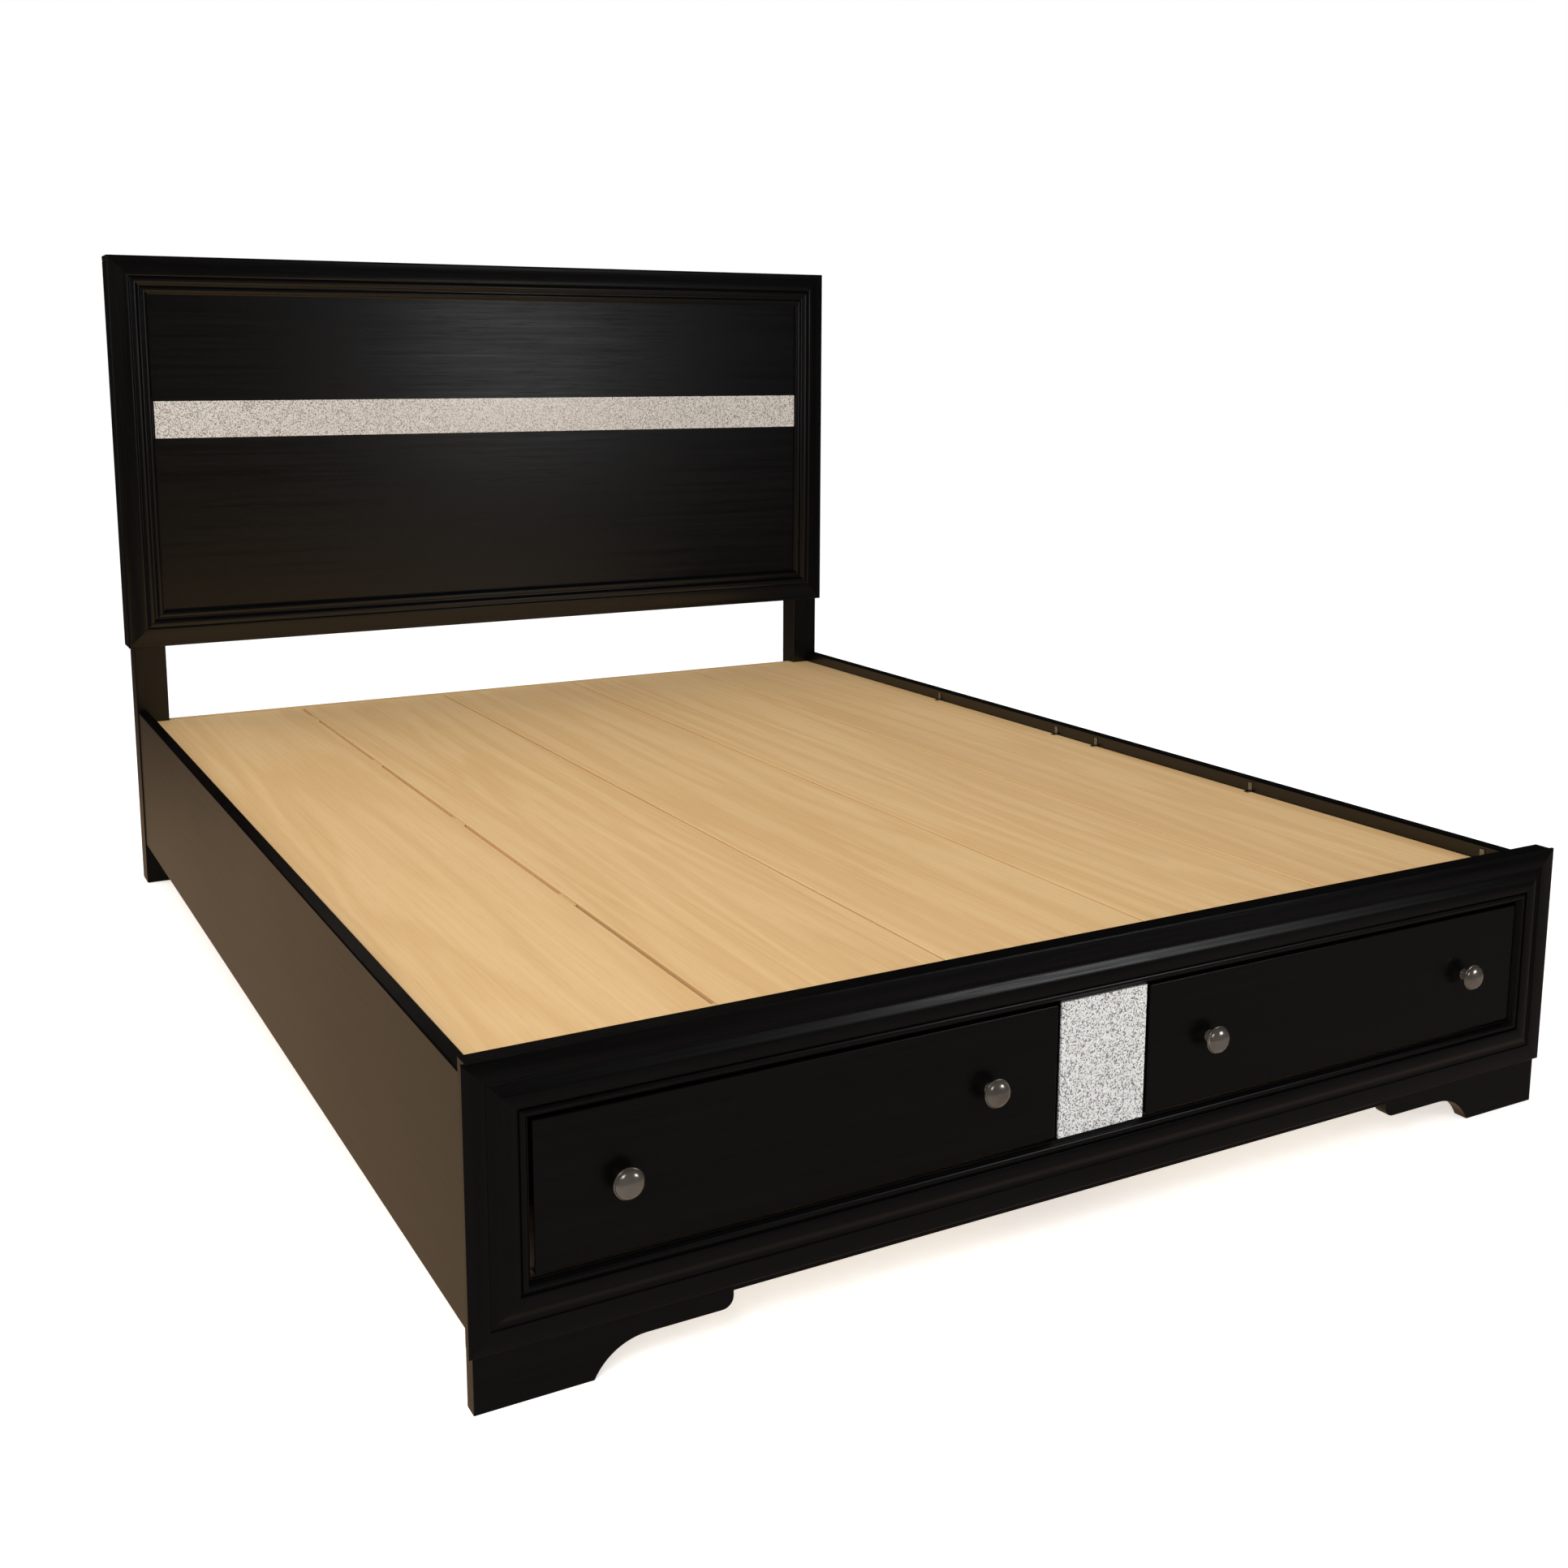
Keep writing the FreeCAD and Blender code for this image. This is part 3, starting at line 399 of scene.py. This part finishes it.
def boards(node, material, slot, ease=1.2 * MM, boxes=None):
    """Eased boards in place of a CAD node, one for each of its solids or for each given box."""
    points, faces, flat, start = [], [], [], 0
    for low, high in boxes or solid_boxes(node):
        made, rings, around = board_points(low, high, ease)
        faces += ring_faces(rings, around, start)
        flat += [len(faces) - 2, len(faces) - 1]
        points.append(made)
        start += len(made)
    return piece(f"{node}_board", np.concatenate(points), faces, flat, material, slot,
                 body_of(node), node)


# ---------------------------------------------------------------- mouldings

def straight(start, end):
    """A straight stretch of a moulding's face between two (across, height) points."""
    return np.linspace(start, end, 2)


def ogee(start, end, steps=18):
    """An S curve: the height follows half a cosine wave between two points."""
    share = np.linspace(0, 1, steps + 1)
    wave = (1 - np.cos(math.pi * share)) / 2
    return np.stack([start[0] + (end[0] - start[0]) * share,
                     start[1] + (end[1] - start[1]) * wave], 1)


def bead(start, end, rise, steps=14):
    """A half ellipse that stands on the line between two points."""
    angle = np.linspace(math.pi, 0, steps + 1)
    middle, half = (start[0] + end[0]) / 2, (end[0] - start[0]) / 2
    floor = np.linspace(start[1], end[1], steps + 1)
    return np.stack([middle + half * np.cos(angle), floor + rise * np.sin(angle)], 1)


def footboard_profile():
    """The footboard moulding's face in millimetres, from its outer edge to its inner one."""
    return np.concatenate([
        ogee((0.0, 3.4), (1.2, 4.2), 4), ogee((24.0, 4.2), (25.2, 2.4), 4),
        ogee((26.8, 2.5), (43.0, 7.9), 20), straight((43.6, 8.0), (55.6, 8.0)),
        ogee((55.8, 7.9), (56.8, 4.6), 4), bead((58.5, 4.4), (66.5, 4.2), 3.4),
        ogee((66.7, 4.0), (68.6, 0.5), 5), straight((69.2, 0.5), (69.9, 0.5))])


def headboard_profile():
    """The headboard moulding's face: an outer flat, an ogee, and two beads of unlike size."""
    return np.concatenate([
        ogee((0.0, 4.6), (1.4, 5.8), 4), ogee((4.0, 5.9), (37, 9.2), 24),
        bead((40.0, 7.6), (55.0, 7.2), 3.9, 18), straight((56.0, 6.4), (58.8, 6.2)),
        bead((60.0, 6.2), (72.6, 4.2), 3.9, 16), ogee((73.0, 4.0), (75.4, 3.0), 4)])


def mitred_length(side, low, high, profile, back):
    """One side of a picture frame: each point of the profile runs along the side between the
    two mitres, so its ends stand in by as much as it lies in from the outer edge."""
    across, height = profile[:, 0] * MM, profile[:, 1] * MM
    across = np.concatenate([across, [across[-1], 0]])
    height = np.concatenate([height, [0, 0]])
    runs = {"top": ("x", high[2], -1), "bottom": ("x", low[2], 1),
            "left": ("z", low[0], 1), "right": ("z", high[0], -1)}
    run, edge, turn = runs[side]
    start, end = (low[0], high[0]) if run == "x" else (low[2], high[2])
    stations = np.array([0, 0.25, 0.5, 0.75, 1])[:, None]
    lengthwise = (start + across + MITRE_GAP) * (1 - stations) + (end - across - MITRE_GAP) * stations
    sideways = np.broadcast_to(edge + turn * across, lengthwise.shape)
    depth = np.broadcast_to(back - height, lengthwise.shape)
    axes = (lengthwise, depth, sideways) if run == "x" else (sideways, depth, lengthwise)
    points = np.stack(axes, -1)
    if side in ("bottom", "right"):
        points = points[::-1]
    return points.reshape(-1, 3), len(stations), len(across)


def moulding_frame(prefix, profile, materials):
    """The four mitred mouldings round a panelled part."""
    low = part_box(f"{prefix}_moulding_left")[0]
    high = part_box(f"{prefix}_moulding_right")[1]
    for side in ("top", "bottom", "left", "right"):
        points, rings, around = mitred_length(side, low, high, profile, high.y)
        faces = ring_faces(rings, around)
        flat = [len(faces) - 2, len(faces) - 1]
        node = f"{prefix}_moulding_{side}"
        piece(f"{node}_run", points, faces, flat, materials[side], "black_lacquer",
              body_of(node), node)


# ---------------------------------------------------------------- other shapes

def skirt_outline(box_high, open_corner):
    """The footboard's lower board as seen from the front: bracket feet with an arch that ends on
    a level shoulder, then a small round up to the straight middle."""
    half, top = box_high[0], box_high[2]
    toe = half - FOOT_WIDTH
    reach = math.sqrt(ARCH_RADIUS ** 2 - (ARCH_RADIUS - ARCH_HEIGHT) ** 2)
    arch_start = toe - reach
    shoulder = arch_start - SHOULDER_LENGTH
    small = np.linspace(math.pi, math.pi * 1.5, 7)
    large = np.linspace(math.pi / 2, math.asin((ARCH_RADIUS - ARCH_HEIGHT) / ARCH_RADIUS), 13)
    rounded = np.stack([shoulder + SHOULDER_RADIUS * (1 + np.cos(small)),
                        ARCH_HEIGHT + SHOULDER_RADIUS * (1 + np.sin(small))], 1)
    arch = np.stack([arch_start + ARCH_RADIUS * np.cos(large),
                     ARCH_HEIGHT - ARCH_RADIUS + ARCH_RADIUS * np.sin(large)], 1)
    inner, low = open_corner
    right = np.concatenate([[(shoulder, SKIRT_BOTTOM)], rounded, arch,
                            [(half, 0), (half, low), (inner, low), (inner, top)]])
    return np.concatenate([right, right[::-1] * (-1, 1)])


def skirt():
    low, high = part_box("footboard_skirt")
    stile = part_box("footboard_stile_right")[0]
    outline = skirt_outline(high, (stile.x, stile.z))
    # a front view outline is anticlockwise seen along +Y, so it is carried from back to front
    made, rings, around = eased_prism(outline, -high.y, -low.y, 1.5 * MM)
    points = np.stack([made[:, 0], -made[:, 2], made[:, 1]], 1)
    faces = ring_faces(rings, around)
    piece("footboard_skirt_board", points, faces, [len(faces) - 2, len(faces) - 1],
          LACQUER["x"][1], "black_lacquer", "frame", "footboard_skirt")


def knob_profile():
    """Half of a knob in millimetres, (radius, distance from the drawer's face): a stepped base,
    a waisted stem that flares as a quarter ellipse, a soft rim and a domed cap."""
    angle = np.linspace(0, math.pi / 2, 9)
    base = np.array([(0.01, 0.0), (7.2, 0.0), (7.9, 0.5), (8.0, 1.2), (7.6, 1.9), (6.6, 2.2)])
    waist = np.stack([6.6 - 1.1 * np.sin(angle * 2) ** 2, 2.4 + 8.0 * angle / angle[-1]], 1)
    flare = np.stack([6.6 + 10.0 * (1 - np.cos(angle)), 10.6 + 4.1 * np.sin(angle)], 1)
    rim_turn = np.linspace(-math.pi / 2, math.pi / 2.6, 10)
    rim = np.stack([16.7 + 1.3 * np.cos(rim_turn), 16.0 + 1.3 * np.sin(rim_turn)], 1)
    dome_turn = np.linspace(0.06, 1, 14)
    dome = np.stack([17.1 * np.cos(dome_turn * math.pi / 2),
                     17.0 + 9.0 * np.sin(dome_turn * math.pi / 2)], 1)
    dome[-1, 0] = 0.01
    return np.concatenate([base, waist[1:], flare[1:], rim, dome[1:]])


def knobs(node, material):
    """Turned knobs: the profile goes round an axis that points out of the drawer's face."""
    profile = knob_profile() * MM
    around = 56
    turn = np.linspace(0, 2 * math.pi, around, endpoint=False)
    points, faces = [], []
    for index, (low, high) in enumerate(solid_boxes(node)):
        x, z = (low[0] + high[0]) / 2, (low[2] + high[2]) / 2
        radius, reach = profile[:, :1], profile[:, 1:]
        grid = np.stack([x + radius * np.sin(turn), high[1] - reach + 0 * turn,
                         z + radius * np.cos(turn)], -1)
        faces += ring_faces(len(profile), around, index * grid.shape[0] * around)
        points.append(grid[:, ::-1].reshape(-1, 3))
    piece(f"{node}_turned", np.concatenate(points), faces, [], material, "knob_nickel",
          body_of(node), node)


def glitter_sheet(node, material, slot_name, cell, depth):
    """A thin inlay with a grained face: each inner point of a fine grid stands a random share of
    depth in front of a plane, and the points along the edges lie on that plane."""
    chance = np.random.default_rng(7)
    points, faces, start = [], [], 0
    for low, high in solid_boxes(node):
        wide, tall = high[0] - low[0], high[2] - low[2]
        columns, rows = int(wide / cell) + 1, int(tall / cell) + 1
        x = np.linspace(low[0], high[0], columns)
        z = np.linspace(low[2], high[2], rows)
        rough = chance.random((rows, columns))
        fade = np.ones((rows, columns))
        fade[[0, -1]] = 0
        fade[:, [0, -1]] = 0
        face = np.stack([np.broadcast_to(x, rough.shape), low[1] + depth * (1 - rough * fade),
                         np.broadcast_to(z[:, None], rough.shape)], -1)
        row, column = np.meshgrid(np.arange(rows - 1), np.arange(columns - 1), indexing="ij")
        corner = row * columns + column
        quads = np.stack([corner, corner + 1, corner + columns + 1, corner + columns], -1)
        faces += (quads.reshape(-1, 4) + start).tolist()
        rim = np.concatenate([np.arange(columns), np.arange(1, rows) * columns + columns - 1,
                              (rows - 1) * columns + np.arange(columns - 2, -1, -1),
                              np.arange(rows - 2, 0, -1) * columns])
        front = face.reshape(-1, 3)
        back = front[rim].copy()
        back[:, 1] = high[1]
        points += [front, back]
        behind = start + len(front) + np.arange(len(rim))
        rim = rim + start
        sides = np.stack([np.roll(rim, -1), rim, behind, np.roll(behind, -1)], -1)
        faces += sides.tolist()
        faces.append(behind[::-1].tolist())
        start += len(front) + len(back)
    piece(f"{node}_film", np.concatenate(points), faces, [], material, slot_name,
          body_of(node), node)


# ---------------------------------------------------------------- the bed

LACQUER = {grain: [black_lacquer(f"black_lacquer_{grain}_{seed}", grain, seed + index * 5)
                   for seed in range(3)] for index, grain in enumerate("xyz")}
RAIL_LACQUER = [black_lacquer(f"rail_lacquer_{seed}", "y", 31 + seed, 0.2) for seed in range(2)]
PINE = {grain: pine(f"pine_{grain}", grain, 11 + index) for index, grain in enumerate("xyz")}
BIRCH = {grain: birch(f"birch_{grain}", grain, 23 + index) for index, grain in enumerate("xyz")}
ZINC = zinc("zinc_plate")
NICKEL = nickel("satin_nickel")
PLASTIC = moulded_plastic("black_plastic")
GLITTER = glitter("glitter_film", 1.5 * MM, ((241, 240, 238), (190, 188, 186), (222, 220, 217)))
GLITTER_BAND = glitter("glitter_band_film", 1.5 * MM,
                       ((240, 234, 227), (188, 180, 172), (217, 209, 201)), weave=0.15,
                       coat=0.9)


def build_headboard():
    moulding_frame("headboard", headboard_profile(),
                   {"top": LACQUER["x"][0], "bottom": LACQUER["x"][2],
                    "left": LACQUER["z"][0], "right": LACQUER["z"][1]})
    for side in ("left", "right"):
        boards(f"headboard_post_{side}", LACQUER["z"][0], "black_lacquer", 2 * MM)
    boards("headboard_side_caps", LACQUER["z"][1], "black_lacquer", 2 * MM)
    for index, name in enumerate(("upper_panel", "lower_panel", "top_rail", "middle_rail",
                                  "bottom_rail", "top_cap", "back_panel")):
        boards(f"headboard_{name}", LACQUER["x"][index % 3], "black_lacquer", 1.2 * MM)
    glitter_sheet("headboard_glitter_band", GLITTER_BAND, "glitter_laminate", 2.4 * MM, 0.12 * MM)


def build_footboard():
    moulding_frame("footboard", footboard_profile(),
                   {"top": LACQUER["x"][1], "bottom": LACQUER["x"][2],
                    "left": LACQUER["z"][2], "right": LACQUER["z"][0]})
    skirt()
    boards("footboard_top_rail", LACQUER["x"][0], "black_lacquer", 0.3 * MM)
    for side in ("left", "right"):
        boards(f"footboard_stile_{side}", LACQUER["z"][1], "black_lacquer", 0.3 * MM)
    boards("footboard_centre_post", LACQUER["z"][2], "black_lacquer")
    glitter_sheet("footboard_glitter_panel", GLITTER, "glitter_laminate", 1.2 * MM, 0.12 * MM)


def slat_boxes():
    """Each cross slat is a flat board under the deck and a rib that stands up in the first gap."""
    edge, far_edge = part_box("deck_board_1")[1].x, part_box("deck_board_2")[0].x
    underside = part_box("deck_board_1")[0].z
    boxes = []
    for low, high in solid_boxes("cross_slats"):
        boxes.append((low, (high[0], high[1], underside)))
        boxes.append(((edge + RIB_CLEARANCE, low[1], underside - MM),
                      (far_edge - RIB_CLEARANCE, high[1], high[2])))
    return boxes


def build_deck():
    for index in range(1, 6):
        boards(f"deck_board_{index}", veneer(f"deck_veneer_{index}", index * 7.3),
               "deck_plywood", 1.4 * MM)
    boards("head_cross_rail", PINE["x"], "frame_pine")
    boards("cross_slats", PINE["x"], "frame_pine", boxes=slat_boxes())
    boards("centre_beam", PINE["y"], "frame_pine")
    boards("centre_legs", PINE["z"], "frame_pine")
    boards("rail_ledgers", PINE["y"], "frame_pine")
    boards("runner_boards", PINE["y"], "frame_pine")
    boards("housing_rear_rail", PINE["x"], "frame_pine")
    for index, side in enumerate(("left", "right")):
        boards(f"side_rail_{side}", RAIL_LACQUER[index], "black_lacquer", 2 * MM)


def build_drawers():
    for index, side in enumerate(("left", "right")):
        label = f"drawer_{side}"
        boards(f"{label}_front", LACQUER["x"][index], "black_lacquer", 1.4 * MM)
        for name in ("side_inner", "side_outer"):
            boards(f"{label}_{name}", BIRCH["y"], "drawer_birch")
        boards(f"{label}_back", BIRCH["x"], "drawer_birch")
        boards(f"{label}_base", BIRCH["x"], "drawer_birch", 0.8 * MM)
        knobs(f"{label}_knobs", NICKEL)


def paint_hardware():
    """The small steel and plastic nodes keep their CAD shape."""
    for node in ("corner_irons", "corner_bolts", "deck_clips", "runner_channels",
                 "drawer_left_slides", "drawer_right_slides", "drawer_left_knob_screws",
                 "drawer_right_knob_screws", "leg_glides"):
        for place in frame["nodes"][node].material_slots:
            place.material = PLASTIC if node == "leg_glides" else ZINC


# ---------------------------------------------------------------- floor, lights, camera

def build_floor():
    """A pale floor that stays out of the reflections in the lacquer."""
    mesh = bpy.data.meshes.new("floor")
    reach = 40
    mesh.from_pydata([(-reach, -reach, 0), (reach, -reach, 0), (reach, reach, 0),
                      (-reach, reach, 0)], [], [(0, 1, 2, 3)])
    paint = Paint("floor_paint")
    speckle = paint.noise(paint.coords((40, 40, 40)), detail=3)
    tone = paint.mix((243, 243, 243), (249, 249, 249), speckle)
    mesh.materials.append(paint.finish(Base_Color=tone, Roughness=0.9, Specular_IOR_Level=0.0,
                                       Emission_Color=tone, Emission_Strength=0.55))
    floor = bpy.data.objects.new("floor", mesh)
    floor.visible_glossy = False
    bpy.context.scene.collection.objects.link(floor)


def area_light(name, place, target, size, power, tint=(1, 1, 1), soft=True):
    """A studio light; a soft one lights surfaces but doesn't show in gloss."""
    data = bpy.data.lights.new(name, "AREA")
    data.shape = "RECTANGLE"
    data.size, data.size_y = size
    data.energy = power
    data.color = tint
    light = bpy.data.objects.new(name, data)
    light.location = place
    light.rotation_euler = (Vector(target) - Vector(place)).to_track_quat("-Z", "Y").to_euler()
    light.visible_glossy = not soft
    bpy.context.scene.collection.objects.link(light)


def build_world():
    """A white backdrop that lights the bed softly; in gloss it is a dim room with a warm floor."""
    world = bpy.data.worlds.new("studio")
    world.use_nodes = True
    world.cycles.sampling_method = "NONE"
    tree = world.node_tree
    backdrop = tree.nodes["Background"]

    def add(kind, settings, inputs):
        made = tree.nodes.new(kind)
        for key, setting in settings.items():
            setattr(made, key, setting)
        for key, value in inputs.items():
            if hasattr(value, "is_linked"):
                tree.links.new(value, made.inputs[key])
            else:
                made.inputs[key].default_value = value
        return made

    path = add("ShaderNodeLightPath", {}, {})
    towards = add("ShaderNodeTexCoord", {}, {})
    split = add("ShaderNodeSeparateXYZ", {}, {0: towards.outputs["Generated"]})
    rise = add("ShaderNodeMapRange", {}, {"Value": split.outputs["Z"], "From Min": -0.26,
                                          "From Max": -0.16})
    headward = add("ShaderNodeMapRange", {}, {"Value": split.outputs["Y"], "From Min": -0.15,
                                              "From Max": 0.15})
    ground = add("ShaderNodeMix", {"data_type": "RGBA"},
                 {"Factor": headward.outputs["Result"], 6: ROOM_FLOOR_FRONT, 7: ROOM_FLOOR_SIDE})
    room = add("ShaderNodeMix", {"data_type": "RGBA"},
               {"Factor": rise.outputs["Result"], 6: ground.outputs[2], 7: ROOM_WALL})
    lit = add("ShaderNodeMix", {"data_type": "RGBA"},
              {"Factor": path.outputs["Is Glossy Ray"], 6: (AMBIENT, AMBIENT, AMBIENT, 1),
               7: room.outputs[2]})
    seen = add("ShaderNodeMix", {"data_type": "RGBA"},
               {"Factor": path.outputs["Is Camera Ray"], 6: lit.outputs[2], 7: (1, 1, 1, 1)})
    tree.links.new(seen.outputs[2], backdrop.inputs["Color"])
    bpy.context.scene.world = world


def build_lights():
    area_light("key", (-2.1, -2.6, 2.1), (-0.3, -0.4, 0.3), (1.6, 1.6), 44, (1, 0.985, 0.96))
    area_light("top", (-0.8, 0.9, 3.0), (-0.2, 0.5, 0.3), (3.0, 3.0), 36, (1, 0.985, 0.96))
    area_light("sheen", (1.49, -2.9, 1.2), (0, 1.0, 1.1), (0.7, 0.7), 5.5, (0.96, 0.97, 1),
               soft=False)
    area_light("knob_card", (-2.2, -3.0, 2.6), (0, -1.0, 0.25), (1.2, 1.2), 8, soft=False)
    area_light("side_card", (-3.4, 0.2, 1.2), (0, 0.6, 0.9), (0.5, 1.4), 3, soft=False)


def build_camera():
    data = bpy.data.cameras.new("camera")
    data.sensor_width = 36
    data.lens = LENS
    data.shift_x, data.shift_y = SHIFT
    data.clip_end = 100
    camera = bpy.data.objects.new("camera", data)
    turn = Matrix.Rotation(math.radians(CAMERA_TURN), 3, "Z")
    tilt = Matrix.Rotation(math.radians(CAMERA_TILT), 3, "X")
    roll = Matrix.Rotation(math.radians(CAMERA_ROLL), 3, "Z")
    camera.rotation_euler = (turn @ tilt @ roll).to_euler()
    camera.location = CAMERA_PLACE
    bpy.context.scene.collection.objects.link(camera)
    bpy.context.scene.camera = camera


build_headboard()
build_footboard()
build_deck()
build_drawers()
paint_hardware()
build_floor()
build_world()
build_lights()
build_camera()

bpy.context.view_layer.update()
